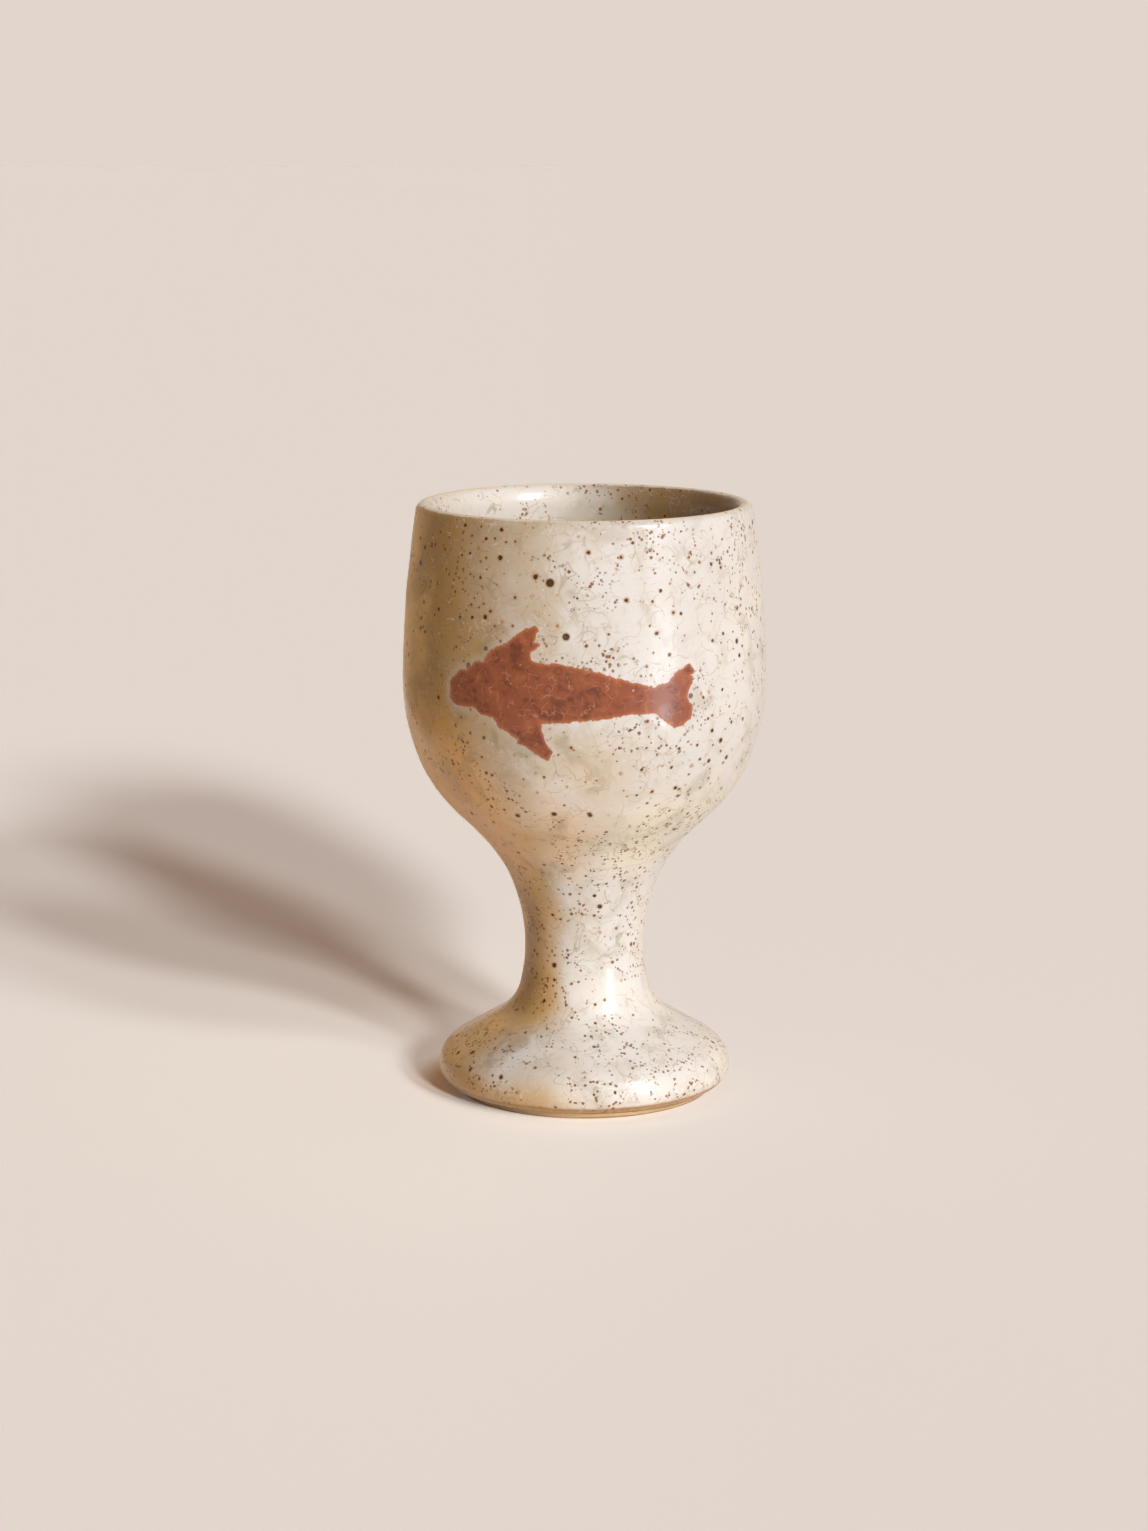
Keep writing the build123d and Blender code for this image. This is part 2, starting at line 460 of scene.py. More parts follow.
far_off = depth_in_fish(flat_places([f.center[:] for f in mesh.polygons])) < -PATCH_MARGIN
bpy.ops.object.mode_set(mode="EDIT")
bpy.ops.mesh.select_mode(type="FACE")
bpy.ops.mesh.select_all(action="DESELECT")
bpy.ops.object.mode_set(mode="OBJECT")
mesh.polygons.foreach_set("select", far_off)
bpy.ops.object.mode_set(mode="EDIT")
bpy.ops.mesh.delete(type="FACE")
bpy.ops.mesh.select_mode(type="VERT")
bpy.ops.mesh.select_all(action="SELECT")
bpy.ops.mesh.normals_make_consistent(inside=False)
bpy.ops.object.mode_set(mode="OBJECT")
print("faces left in the patch:", len(mesh.polygons))

# %% [markdown]
# A vertex group says how far each point rises. A margin just clear of the glaze carries the same
# glaze, so that nothing shows where the patch ends, and the pigment stands a little higher.
# Displace lifts the points, and Solidify closes the patch underneath.

# %% Raise the pigment
RELIEF = 0.1 * MM
PIGMENT_THICK = 0.2 * MM
MARGIN_RISES = (-PATCH_MARGIN, -1.8)
PIGMENT_RISES = (-0.2, 0.35)

depth = depth_in_fish(flat_places([v.co[:] for v in mesh.vertices]))
mesh.attributes.new("inside_fish", "FLOAT", "POINT")
mesh.attributes["inside_fish"].data.foreach_set("value", depth.astype(np.float32))
rise = (soft_step(depth, *MARGIN_RISES) + soft_step(depth, *PIGMENT_RISES)) / 2
raised = brushed_fish.vertex_groups.new(name="raised")
for number, weight in enumerate(rise):
    raised.add([number], float(weight), "REPLACE")

outward_front = sum(1 for f in mesh.polygons if f.normal.y < 0) > len(mesh.polygons) / 2
lift = brushed_fish.modifiers.new("pigment", "DISPLACE")
lift.vertex_group = "raised"
lift.mid_level = 0
lift.strength = RELIEF if outward_front else -RELIEF
close = brushed_fish.modifiers.new("underside", "SOLIDIFY")
close.thickness = PIGMENT_THICK
close.offset = -1 if outward_front else 1
for modifier in ("pigment", "underside"):
    bpy.ops.object.modifier_apply(modifier=modifier)
print("pigment stands on the glaze; normals point out at the front:", outward_front)

# %% [markdown]
# ## Mixing finishes
#
# A finish is a sum of many small things: clouds of colour, grains of iron, fine cracks. Written
# as node links, such sums are hard to read, so one small class wraps the output of a node and
# lets Python add, subtract and multiply it. Every other node comes from its method node.

# %% Wrap a node's output
class Socket:
    """The output of a shader node. Sums on it add Math nodes to the same material."""

    def __init__(self, tree, output=None):
        self.tree = tree
        self.output = output

    def node(self, kind, settings=None, sockets=None, output=None):
        """A new node: its settings first, then the values or links of its sockets."""
        made = self.tree.nodes.new("ShaderNode" + kind)
        for name, value in (settings or {}).items():
            setattr(made, name, value)
        for name, value in (sockets or {}).items():
            if isinstance(name, int):
                socket = made.inputs[name]
            else:
                socket = next(s for s in made.inputs if s.enabled and s.name == name)
            if isinstance(value, Socket):
                self.tree.links.new(value.output, socket)
            else:
                socket.default_value = value
        found = [s for s in made.outputs if s.enabled and output in (None, s.name)]
        return Socket(self.tree, found[0] if found else None)

    def other(self, name):
        """Another output of the same node."""
        return Socket(self.tree, self.output.node.outputs[name])

    def maths(self, operation, first, second=0.0):
        return self.node("Math", {"operation": operation}, {0: first, 1: second})

    def __add__(self, value):
        return self.maths("ADD", self, value)

    def __sub__(self, value):
        return self.maths("SUBTRACT", self, value)

    def __rsub__(self, value):
        return self.maths("SUBTRACT", value, self)

    def __mul__(self, value):
        return self.maths("MULTIPLY", self, value)

    def __abs__(self):
        return self.maths("ABSOLUTE", self)

    __radd__ = __add__
    __rmul__ = __mul__


def tint(red, green, blue):
    """A colour as a picture program names it, 0 to 255, turned into Blender's linear light."""
    shares = [value / 255 for value in (red, green, blue)]
    linear = [s / 12.92 if s <= 0.04045 else ((s + 0.055) / 1.055) ** 2.4 for s in shares]
    return (*linear, 1.0)


def new_material(name):
    """A material without nodes, and the place where its nodes begin."""
    material = bpy.data.materials.new(name)
    material.use_nodes = True
    material.node_tree.nodes.clear()
    return material, Socket(material.node_tree)


# %% [markdown]
# The words of a glaze recipe come next, each a small function: a soft step from nothing to
# all, one colour laid over another, clouds, and a place nudged about so that nothing on the
# goblet is ruled with a compass. All of them measure in millimetres on the goblet.

# %% Words for a recipe
def fade(value, low, high):
    """0 where the value is at low, 1 where it is at high, and a soft step between them."""
    span = {"Value": value, "From Min": low, "From Max": high}
    return value.node("MapRange", {"interpolation_type": "SMOOTHSTEP"}, span)


def paint(under, over, cover):
    """The colour over laid on the colour under, as thickly as cover says."""
    return cover.node("Mix", {"data_type": "RGBA"}, {"Factor": cover, "A": under, "B": over})


def clouds(place, size, detail=2.0, roughness=0.5, distortion=0.0):
    """Soft lumps of about that size, from 0 to 1."""
    values = {"Vector": place, "Scale": 1 / size, "Detail": detail}
    values |= {"Roughness": roughness, "Distortion": distortion}
    return place.node("TexNoise", {}, values)


def hairs(place, size, width):
    """Fine curling lines, where a cloud passes through its middle value."""
    lump = clouds(place, size, 1.0, 0.4, 1.2)
    return 1 - fade(abs(lump - 0.5), 0.1 * width / size, 0.7 * width / size)


def nudged(place, size, amount):
    """Places moved about by up to half the amount, differently every few millimetres."""
    swirl = clouds(place, size, 1.0).other("Color")
    steps = {0: swirl, 1: (amount,) * 3, 2: place}
    return place.node("VectorMath", {"operation": "MULTIPLY_ADD"}, steps)


def parts(place):
    """The three coordinates of a place."""
    split = place.node("SeparateXYZ", {}, {"Vector": place})
    return split, split.other("Y"), split.other("Z")


def height_of(place):
    """How high a place is."""
    return parts(place)[2]


def level(x, y):
    """The same place, brought down to the table."""
    return x.node("CombineXYZ", {}, {"X": x, "Y": y, "Z": 0.0})


def round_the_goblet(place):
    """Where round the goblet a place is: -1 left to 1 right, and -1 in front to 1 behind."""
    x, y, _ = parts(place)
    return parts(x.node("VectorMath", {"operation": "NORMALIZE"}, {0: level(x, y)}))[:2]


def gap_to(place, point):
    """How far a place is from a fixed point."""
    return place.node("VectorMath", {"operation": "DISTANCE"}, {0: place, 1: point}, "Value")


# %% [markdown]
# ## Iron in the clay
#
# Reduction-fired stoneware bleeds specks of iron up through its glaze. There are fine ones
# everywhere, larger ones here and there, and a few that melted into round spots. Each size is
# one Voronoi pattern: a cell either holds a grain or doesn't, and the grain's size differs from
# cell to cell. The bowl cuts the cells at any depth, which varies the grains once more.

# %% Scatter specks
def specks(place, cell, radius, share, soft, halo=None):
    """1 inside a grain and 0 outside. That share of the cells holds one.

    With a halo, a second value also fades out over that width round each grain.
    """
    grain = place.node("TexVoronoi", {}, {"Vector": place, "Scale": 1 / cell})
    lot = grain.node("SeparateColor", {}, {"Color": grain.other("Color")})
    held = 1 - fade(lot, share - 0.01, share + 0.01)
    size = radius * 0.5 + radius * lot.other("Green")
    away = grain * cell
    inside = (1 - fade(away, size - soft, size + soft)) * held
    if halo is None:
        return inside
    return inside, (1 - fade(away, size * 0.8, size + halo)) * held


def cracks(place, cell, width):
    """1 on the fine cracks of a crazed glaze, which part it into cells."""
    bent = nudged(place, cell * 0.6, cell * 0.7)
    edges = {"Vector": bent, "Scale": 1 / cell}
    edge = place.node("TexVoronoi", {"feature": "DISTANCE_TO_EDGE"}, edges)
    return 1 - fade(edge * cell, width * 0.4, width)


def start_finish(name):
    """A new material, and the places on the goblet in millimetres."""
    material, start = new_material(name)
    metres = start.node("TexCoord", output="Object")
    scale = {0: metres, "Scale": 1 / MM}
    return material, metres.node("VectorMath", {"operation": "SCALE"}, scale)


def end_finish(colour, roughness, height, coat):
    """Lets the light fall on a finish. The height of its surface is in millimetres."""
    bump = {"Strength": 1.0, "Distance": MM, "Height": height}
    values = {"Base Color": colour, "Roughness": roughness, "IOR": 1.38}
    values |= {"Normal": height.node("Bump", {}, bump)}
    values |= {"Coat Weight": coat, "Coat Roughness": 0.11}
    shader = colour.node("BsdfPrincipled", {}, values)
    shader.node("OutputMaterial", {}, {"Surface": shader})


# %% [markdown]
# ## The oatmeal glaze
#
# The coat is thin enough to let the clay through where it is thinnest: on the crest of the lip,
# on the edge above the foot ring, and where the flame caught the goblet on one side. So the
# recipe starts from a clouded oatmeal white and warms it towards tan in those places. Part of
# that tan on the left is painted shade, and painted light whitens the right side and the crest.
# The cracks, the iron and the pinholes go over that. The same recipe finishes the margin of the
# fish, in the same coordinates, so the two run on without a seam. The colours come first.

# %% Name the colours of the glaze
OATMEAL = tint(200, 188, 169)
IVORY = tint(217, 215, 212)
CHALK = tint(234, 230, 223)
MILK = tint(226, 221, 213)
CREAM = tint(250, 232, 198)
GREY = tint(192, 183, 163)
PEACH = tint(238, 212, 178)
STRAW = tint(248, 240, 217)
HONEY = tint(236, 192, 118)
GOLD = tint(236, 179, 94)
AMBER = tint(198, 156, 90)
BUFF = tint(178, 153, 118)
TAN = tint(172, 133, 70)
BROWN = tint(130, 100, 56)
OLIVE = tint(148, 131, 96)
RUST = tint(170, 114, 46)
UMBER = tint(122, 75, 8)
IRON = tint(50, 28, 0)
PALE_HAIR = tint(240, 234, 226)
PINHOLE = tint(244, 239, 232)
print("oatmeal, in linear light:", [round(c, 2) for c in OATMEAL])


# %% [markdown]
# The ground is oatmeal and ivory in clouds, whiter towards the foot, and whiter to the right as
# painted light from the lamps on that side. The hollow under the bowl is warmer: peach on the
# left, straw on the right. Painted light runs chalk white down the right side, with a painted
# straw sheen along its edge. A pale line runs round where the bowl was joined to the stem.

# %% Mix the ground
JOINT_LINE = 61.2


def clouded(place, side):
    """Clouded oatmeal and ivory with grey patches, whiter low down, painted light to the right.
    """
    z = height_of(place)
    low = (1 - fade(z, 50, 62)) * fade(side, -0.5, 0.2)
    lowest = (1 - fade(z, 26, 40)) * fade(side, -0.7, -0.1)
    ground = paint(OATMEAL, IVORY, fade(clouds(place, 18, 3, 0.55, 0.3), 0.34, 0.6))
    # Painted light: the glaze is whiter towards the right, the side that the lamps light.
    ground = paint(ground, IVORY, fade(side, -0.2, 0.5) * 0.8)
    ground = paint(ground, IVORY, low * 0.5)
    ground = paint(ground, CHALK, lowest * 0.55)
    return paint(ground, GREY, fade(clouds(place, 6, 3, 0.6, 0.7), 0.52, 0.72) * 0.45)


def hollow_joint_and_painted_light(ground, place, side, drift, hollow):
    """The hollow under the bowl, painted light down the right side and edge, and the joint line.
    """
    x, _, z = parts(place)
    ground = paint(ground, PEACH, hollow * (1 - fade(side, -0.2, 0.35)) * 0.85)
    low_straw = hollow * (1 - fade(z + drift * 10, 76, 94))
    ground = paint(ground, STRAW, low_straw * fade(side, 0, 0.4) * 0.65)
    # Painted light: chalk white down the right side, and a painted straw sheen along its edge.
    ground = paint(ground, CHALK, fade(side, 0.6, 0.9) * 0.5)
    ground = paint(ground, STRAW, fade(side, 0.93, 1.0) * 0.5)
    joint_line = 1 - fade(abs(z - x * 0.08 + drift * 4 - JOINT_LINE), 0.1, 0.3)
    return paint(ground, IVORY, joint_line * fade(side, -0.3, 0.1) * 0.7)


# %% [markdown]
# The flame caught the front of the goblet on the left and toasted the glaze to buff and tan,
# with olive smudges, thicker in a band down that side. Part of that tan is painted shade on the
# shaded side. The gold under the bowl is painted light thrown back from the table, and a painted
# golden line of edge light runs down the left edge. Towards the back the marks end in a wavering
# edge. All of it is colour, which stays with the goblet when it turns. Inside, the liner has
# painted light on the left and painted shade in brown on the right, and is brown where the glaze
# pooled low in the bowl.

# %% Mark the flame, the painted shade and the pour
def flamed_and_painted_shade(ground, place, side, behind, drift, hollow):
    """The ground with the flame marks over it, partly painted shade and painted light."""
    z = height_of(place)
    on_foot = 1 - fade(z, 14, 24)
    below_bowl = 1 - fade(z, 46, 62)
    caught = 1 - fade(behind + drift * 0.9, -0.12, 0.55) * 0.85
    turned = side + 0.24 * on_foot + 0.1 * below_bowl
    # Partly flame marks, partly painted shade on the shaded left side.
    toasted_and_shaded = fade(turned, -0.14, -0.56) * (1 - hollow * 0.8)
    ground = paint(ground, paint(BUFF, AMBER, below_bowl), toasted_and_shaded * caught * 0.85)
    # Painted light thrown back from the table turns the marks gold under the bowl.
    lit_below = (1 - fade(z + drift * 12, 84, 114)) * fade(z, 46, 64)
    flame = paint(paint(TAN, GOLD, lit_below), PEACH, on_foot)
    licked_and_shaded = fade(turned, -0.4, -0.8) * caught
    ground = paint(ground, flame, licked_and_shaded * (0.9 - 0.35 * on_foot))
    # A painted golden line of edge light down the left edge.
    ground = paint(ground, HONEY, fade(side, -0.84, -1.0) * caught * 0.8)
    smudge = fade(clouds(place, 11, 3, 0.6, 0.5), 0.52, 0.68)
    smudged_band = fade(turned, 0.1, -0.4) * fade(turned, -0.85, -0.55)
    ground = paint(ground, OLIVE, smudge * (0.26 + 0.3 * smudged_band))
    low_edge = (1 - fade(z + drift * 4, 5, 11)) * fade(side, 0.3, -0.6) * caught
    return paint(ground, AMBER, low_edge * 0.75)


def poured_and_shaded(ground, place, drift):
    """The ground inside the bowl: painted light on the left, painted brown shade on the right,
    brown low down.
    """
    x, _, z = parts(place)
    pooled_and_shaded = x * 0.025 + (1 - fade(z, 70, 105)) * 0.3 + drift * 0.6
    # Painted light on the left, painted brown shade on the right, and brown where it pooled low
    # down.
    ground = paint(ground, MILK, fade(pooled_and_shaded, 0.1, -0.35) * 0.85)
    ground = paint(ground, OLIVE, fade(pooled_and_shaded, -0.35, 0.25) * 0.6)
    return paint(ground, BROWN, fade(pooled_and_shaded, 0.05, 0.5) * 0.9)


# %% [markdown]
# Last, the two edges where the coat is thinnest and lets the clay through: cream along the crest
# of the lip, which is partly painted light on its upward face, and tan with a line of rust just
# above the foot ring.

# %% Warm the edges and light the crest
def thinned_and_lit_crest(ground, place):
    """The crest of the lip, partly painted light, and the edge over the foot ring."""
    z = height_of(place)
    crest = fade(z + (clouds(place, 3) - 0.5) * 0.4, 149.55, 149.9)
    # Painted light on the upward face of the crest, over the warmth of the thin glaze there.
    ground = paint(ground, CREAM, crest * 0.8)
    foot = z + (clouds(place, 9) - 0.5) * 0.9
    ground = paint(ground, TAN, (1 - fade(foot, 3.4, 4.3)) * 0.85)
    return paint(ground, RUST, fade(foot, 2.9, 3.2) * (1 - fade(foot, 3.4, 3.8)) * 0.6)


def warmth(place, cloud, inside):
    """The whole ground of the glaze. Inside is 1 in the bowl, or None where there is no bowl."""
    drift = cloud - 0.5
    side, behind = round_the_goblet(place)
    side = side + drift * 0.5
    z = height_of(place)
    hollow = fade(z + drift * 9, 55, 66) * (1 - fade(z + drift * 20, 70, 98))
    ground = hollow_joint_and_painted_light(clouded(place, side), place, side, drift, hollow)
    ground = flamed_and_painted_shade(ground, place, side, behind, drift, hollow)
    if inside is not None:
        ground = paint(ground, poured_and_shaded(ground, place, drift), inside)
    return thinned_and_lit_crest(ground, place)


# %% [markdown]
# Specks gather in loose swarms, and are sparser inside the bowl and on the stem and foot. Round
# the larger ones the iron bleeds into a rust-brown ring, and along the cracks it settles in
# beads. Two spots over the fish are large enough to be placed one by one: each has a place
# across the front, a height and a radius, in millimetres.

# %% Lay the iron over the glaze
BIG_SPOTS = [(-8.3, 135.6, 0.95), (-4.5, 122.9, 0.8)]


def iron_and_cracks(place, ground, sparse):
    """The ground with cracks, beads of rust and iron specks over it, and how dark they are."""
    swarm = fade(clouds(place, 15, 2), 0.36, 0.6)
    z = height_of(place)
    low = 1 - fade(z, 62, 86)
    odd = nudged(place, 0.8, 0.4)
    dust = specks(odd, 1.8, 0.21, 0.48 - 0.2 * sparse, 0.03) * (0.6 + 0.4 * swarm)
    fine, fine_bleed = specks(odd, 2.5, 0.31, 0.62 - 0.4 * sparse, 0.04, 0.3)
    middling, bleed = specks(odd, 4.1, 0.45, 0.5 - 0.25 * sparse, 0.05, 0.5)
    large = specks(odd, 11, 0.7, 0.5, 0.08) * (1 - sparse) * (1 - fade(z, 142, 145))
    crack = cracks(place, 8, 0.12) * fade(clouds(place, 6, 2), 0.4, 0.56)
    where = fade(clouds(place, 16, 1) + low * 0.08, 0.47, 0.56)
    beads = specks(place, 0.95, 0.32, 0.85, 0.06) * cracks(place, 6.5, 0.65) * where
    colour = paint(ground, BUFF, crack * 0.45)
    curl = hairs(place, 9, 0.2) * fade(clouds(place, 8, 1), 0.44, 0.56)
    colour = paint(colour, OLIVE, curl * 0.4)
    colour = paint(colour, RUST, bleed * 0.85 + fine_bleed * 0.8)
    colour = paint(colour, UMBER, 1 - (1 - beads * 0.9) * (1 - dust * 0.85))
    dark = 1 - (1 - middling) * (1 - large) * (1 - fine * (0.65 + 0.35 * swarm))
    for across, up, radius in BIG_SPOTS:
        centre = (across, -((radius_at(up) ** 2 - across**2) ** 0.5), up)
        away = gap_to(place, centre)
        colour = paint(colour, RUST, (1 - fade(away, radius, radius + 0.5)) * 0.7)
        dark = 1 - (1 - dark) * fade(away, radius - 0.1, radius + 0.12)
    return paint(colour, IRON, dark * 0.95), dark, crack


# %% [markdown]
# The whole recipe gives the colour, the roughness and the height of the surface. It ends with
# pale hairs and pinholes, which the last bubbles left as the glaze cooled.

# %% Mix the oatmeal glaze
def oatmeal(place, inside=None):
    """Colour, roughness and height of the oatmeal glaze. Inside is 1 in the bowl."""
    cloud = clouds(place, 19, 2)
    sparse = 1 - fade(height_of(place), 60, 84)
    if inside is not None:
        sparse = sparse.maths("MAXIMUM", sparse, inside)
    colour, dark, crack = iron_and_cracks(place, warmth(place, cloud, inside), sparse)
    curls = hairs(nudged(place, 14, 9), 3.2, 0.09) * fade(clouds(place, 5, 1), 0.46, 0.6)
    colour = paint(colour, PALE_HAIR, curls * 0.32)
    pinholes = specks(place, 3.8, 0.16, 0.5, 0.05)
    colour = paint(colour, PINHOLE, pinholes * 0.6)
    roughness = 0.24 + 0.1 * cloud + 0.1 * dark
    height = clouds(place, 5, 2) * 0.04 + clouds(place, 0.9, 2) * 0.003
    return colour, roughness, height - pinholes * 0.02 - crack * 0.004


# %% [markdown]
# The outer coat runs over the lip and a little way down inside, so its recipe also has to know
# where the bowl begins: high up, and nearer to the axis than the crest of the lip.

# %% Glaze the outside
GLASSY = 0.25

material, place = start_finish("oatmeal_glaze_outside")
x, y, z = parts(place)
radius = place.node("VectorMath", {"operation": "LENGTH"}, {0: level(x, y)}, "Value")
within = fade(z, 120, 121) * (1 - fade(radius, 39.4, 40.6))
end_finish(*oatmeal(place, within), GLASSY)
outer_glaze.data.materials.append(material)
print("nodes in the oatmeal glaze:", len(material.node_tree.nodes))

# %% [markdown]
# The liner is the same glaze, poured. Painted light makes it paler and greyer on the left, and
# painted shade a brown olive on the right. Down the bowl it is brown olive where it pooled.

# %% Mix the liner glaze
material, place = start_finish("liner_glaze_inside")
everywhere = fade(height_of(place), 0, 1)
end_finish(*oatmeal(place, everywhere), GLASSY)
liner_glaze.data.materials.append(material)
print("nodes in the liner glaze:", len(material.node_tree.nodes))

# %% [markdown]
# ## Iron red for the fish
#
# The pigment went on with a loaded brush, in one layer over another. Where it is thick it is
# a dark red-brown; where the brush ran dry, and along the edge where it thins into the glaze,
# it turns orange. Hairs of the brush left scratches, and the boiling glaze left small rings.

# %% Mix the pigment
FISH_RED = tint(142, 80, 54)
FISH_DARK = tint(100, 54, 38)
FISH_ORANGE = tint(178, 106, 70)
FISH_SCRATCH = tint(190, 134, 104)
FISH_PINHOLE = tint(226, 200, 184)

material, place = start_finish("iron_red_fish")
inside = place.node("Attribute", {"attribute_name": "inside_fish"}, {}, "Fac")
colour, roughness, height = oatmeal(place)
colour = paint(colour, IVORY, fade(inside, -2.6, -0.3) * 0.18)

bristles = (clouds(place, 1.1, 3, 0.6) - 0.5) * 1.5
cover = fade(inside + bristles, -0.16, 0.2)
thick = clouds(place, 4, 3, 0.6, 0.6)
red = paint(FISH_RED, FISH_DARK, fade(thick, 0.5, 0.66) * 0.75)
red = paint(red, FISH_ORANGE, fade(thick, 0.46, 0.3) * 0.45)
ring = place.node("TexVoronoi", {}, {"Vector": nudged(place, 2.5, 2.2), "Scale": 1 / 3.6}) * 3.6
red = paint(red, FISH_DARK, fade(ring, 0.35, 0.65) * fade(ring, 1.2, 0.9) * 0.5)
red = paint(red, FISH_ORANGE, fade(inside + bristles * 0.6, 1.2, 0.1) * 0.75)
scratches = cracks(place, 3.2, 0.1) * fade(clouds(place, 2.4, 1), 0.44, 0.6)
red = paint(red, FISH_SCRATCH, scratches * 0.55)
pinholes = specks(place, 2.6, 0.16, 0.45, 0.05)
red = paint(red, FISH_PINHOLE, pinholes * 0.7)
end_finish(
    paint(colour, red, cover),
    roughness + cover * 0.05,
    height + cover * thick * 0.04 - scratches * cover * 0.01,
    GLASSY,
)
brushed_fish.data.materials.append(material)
print("nodes in the fish:", len(material.node_tree.nodes))

# %% [markdown]
# ## Bare clay
#
# Under the glaze the stoneware is tan and matt. On the foot ring, trimming has dragged sand
# across it in level lines. The ring is painted darker on the left, the side that lies in shade,
# and along the edge it stands on. The clay of the bowl, the slip in the seam and the coil round
# it are sealed under the glaze, and get the same clay without the lines.

# %% Mix the clay
CLAY = tint(213, 182, 145)
CLAY_DARK = tint(112, 84, 54)
CLAY_LIGHT = tint(226, 202, 168)


def clay_finish(name, trimmed_below):
    """Bare fired clay, with level trimming lines up to that height in millimetres."""
    material, place = start_finish(name)
    x, y, z = parts(place)
    dragged = place.node("CombineXYZ", {}, {"X": x * 0.03, "Y": y * 0.03, "Z": z * 1.8})
    lines = clouds(dragged, 1, 3, 0.6)
    low = 1 - fade(z, trimmed_below, trimmed_below + 1)
    colour = paint(CLAY, CLAY_LIGHT, fade(clouds(place, 6, 3), 0.45, 0.7) * 0.6)
    colour = paint(colour, CLAY_DARK, fade(lines, 0.52, 0.6) * low * 0.7)
    colour = paint(colour, CLAY_LIGHT, fade(lines, 0.44, 0.34) * low * 0.6)
    shaded = fade(round_the_goblet(place)[0], 0.1, -0.7) * 0.5 + (1 - fade(z, 0.2, 0.8)) * 0.3
    colour = paint(colour, CLAY_DARK, shaded * low)
    grog = specks(place, 1.3, 0.2, 0.6, 0.06)
    colour = paint(colour, CLAY_DARK, grog * 0.5)
    height = clouds(place, 0.5, 3) * 0.03 + lines * low * 0.05
    end_finish(colour, 0.68 + 0.1 * lines, height, 0.0)
    return material


turned_foot.data.materials.append(clay_finish("bare_clay_foot", 3.4))
for name in ("bowl", "joint_coil", "joint_slip"):
    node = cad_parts[name]
    node.data.materials.clear()
    node.data.materials.append(clay_finish("bare_clay_" + name, -5))
print("clay on the foot ring, the bowl, the coil and the slip")

# %% [markdown]
# ## The table and the light
#
# Three low lamps to the right, a little way round from each other, give long soft shadows that
# fan out behind the foot, with a darker core where they lie over each other. A warm room fills
# the shade. Each lamp has four numbers: degrees to the right, degrees up, power, and how many
# degrees wide it looks, which softens its shadow.
#
# The table and the room show the camera and the reflections one pale pinkish grey, so no horizon
# is seen. DEEP and SHALLOW are how strongly the table answers the light on the left and on the
# right. It glows by whatever is still missing from the grey.

# %% Name the lamps
PALE = tint(225, 213, 204)
ROOM = (0.12, 0.055, 0.028)
DEEP = (1.39, 1.4, 1.35)
SHALLOW = (0.35, 0.35, 0.35)
LAMPS = {
    "side_lamp": (45, 32, 0.16, 8.5),
    "middle_lamp": (35, 23.5, 0.325, 6),
    "front_lamp": (23, 20.5, 0.572, 7),
}

flat_light = sum(power * sin(radians(up)) for _, up, power, _ in LAMPS.values())
on_table = [flat_light + room for room in ROOM]
deep_glow = [max(0, p - d * light) for p, d, light in zip(PALE, DEEP, on_table)]
shallow_glow = [max(0, p - d * light) for p, d, light in zip(PALE, SHALLOW, on_table)]
print("light on the table:", [round(light, 2) for light in on_table])


# %% [markdown]
# The table is one large plane. On the left it answers the light deeply and takes the whole
# shadow. On the right, and round the foot, where the goblet throws its own light down, it takes
# less of both. To the rays that light the goblet it is a plain pale table.

# %% Set the table
TABLE_SIZE = 24
PLAIN_TABLE = (1.0, 0.9, 0.75, 1)
SOFT_MIDDLE = 0.05
FOOT_LIGHT_FROM = (0.038, 0.048)
FOOT_LIGHT_TO = (0.055, 0.11)
FOOT_LIGHT = 0.55


def seen(start):
    """1 for what the camera sees, straight or in a reflection."""
    path = start.node("LightPath", output="Is Camera Ray")
    return path + path.other("Is Glossy Ray") + path.other("Is Transmission Ray")


bpy.ops.object.select_all(action="DESELECT")
bpy.ops.mesh.primitive_plane_add(size=TABLE_SIZE, location=(0, 0, 0))
table = bpy.context.object
table.name = "table"

material, start = new_material("pale_table")
metres = start.node("TexCoord", output="Object")
from_middle = gap_to(metres, (0, 0, 0))
foot_light = fade(from_middle, *FOOT_LIGHT_FROM) * (1 - fade(from_middle, *FOOT_LIGHT_TO))
on_the_left = 1 - fade(parts(metres)[0], -SOFT_MIDDLE, SOFT_MIDDLE)
calm = 1 - on_the_left * (1 - foot_light * FOOT_LIGHT)
shade = start.node("BsdfDiffuse", {}, {"Color": paint((*DEEP, 1), (*SHALLOW, 1), calm)})
glow = paint((*deep_glow, 1), (*shallow_glow, 1), calm)
light = start.node("Emission", {}, {"Color": glow, "Strength": 1.0})
shown = start.node("AddShader", {}, {0: shade, 1: light})
plain = start.node("BsdfDiffuse", {}, {"Color": PLAIN_TABLE})
mixed = start.node("MixShader", {}, {0: seen(start), 1: plain, 2: shown})
mixed.node("OutputMaterial", {}, {"Surface": mixed})
table.data.materials.append(material)
print("glow of the table:", [round(g, 3) for g in deep_glow], shallow_glow)

# %% [markdown]
# The room gives the shade its warm fill, brighter to the right. The camera and the reflections
# see plain pale walls.

# %% Colour the room
FILL_LEFT = 0.6
FILL_RIGHT = 1.4

